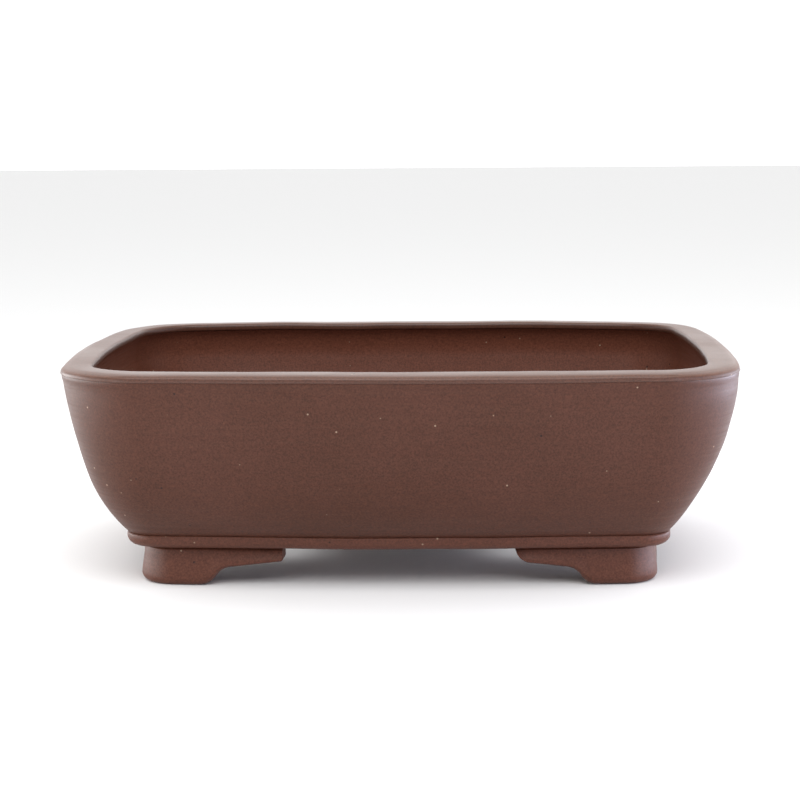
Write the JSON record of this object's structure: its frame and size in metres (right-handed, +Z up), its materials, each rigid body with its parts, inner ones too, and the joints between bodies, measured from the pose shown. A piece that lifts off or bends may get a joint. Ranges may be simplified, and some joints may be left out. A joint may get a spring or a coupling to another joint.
{
  "type": "bonsai pot",
  "caption": "Unglazed stoneware bonsai pot, a rounded oblong bowl with bellied walls, a flat rim, a base moulding, bracket feet and drain holes.",
  "frame": {"origin": "middle of the pot at table height, under the four soles", "axes": "+X along the pot's length, +Y to the back, +Z up"},
  "size_m": [0.255, 0.192, 0.0825],
  "materials": {
    "rim_clay": "burnished unglazed stoneware, satin",
    "wall_clay": "burnished unglazed stoneware, satin",
    "floor_clay": "plain unglazed stoneware, matt",
    "trim_clay": "smoothed unglazed stoneware, matt"
  },
  "bodies": {
    "root": {"rim": "rim_clay", "wall": "wall_clay", "floor": "floor_clay", "base_bead": "trim_clay", "foot_front_left": "trim_clay", "foot_front_right": "trim_clay", "foot_back_left": "trim_clay", "foot_back_right": "trim_clay"}
  },
  "joints": []
}
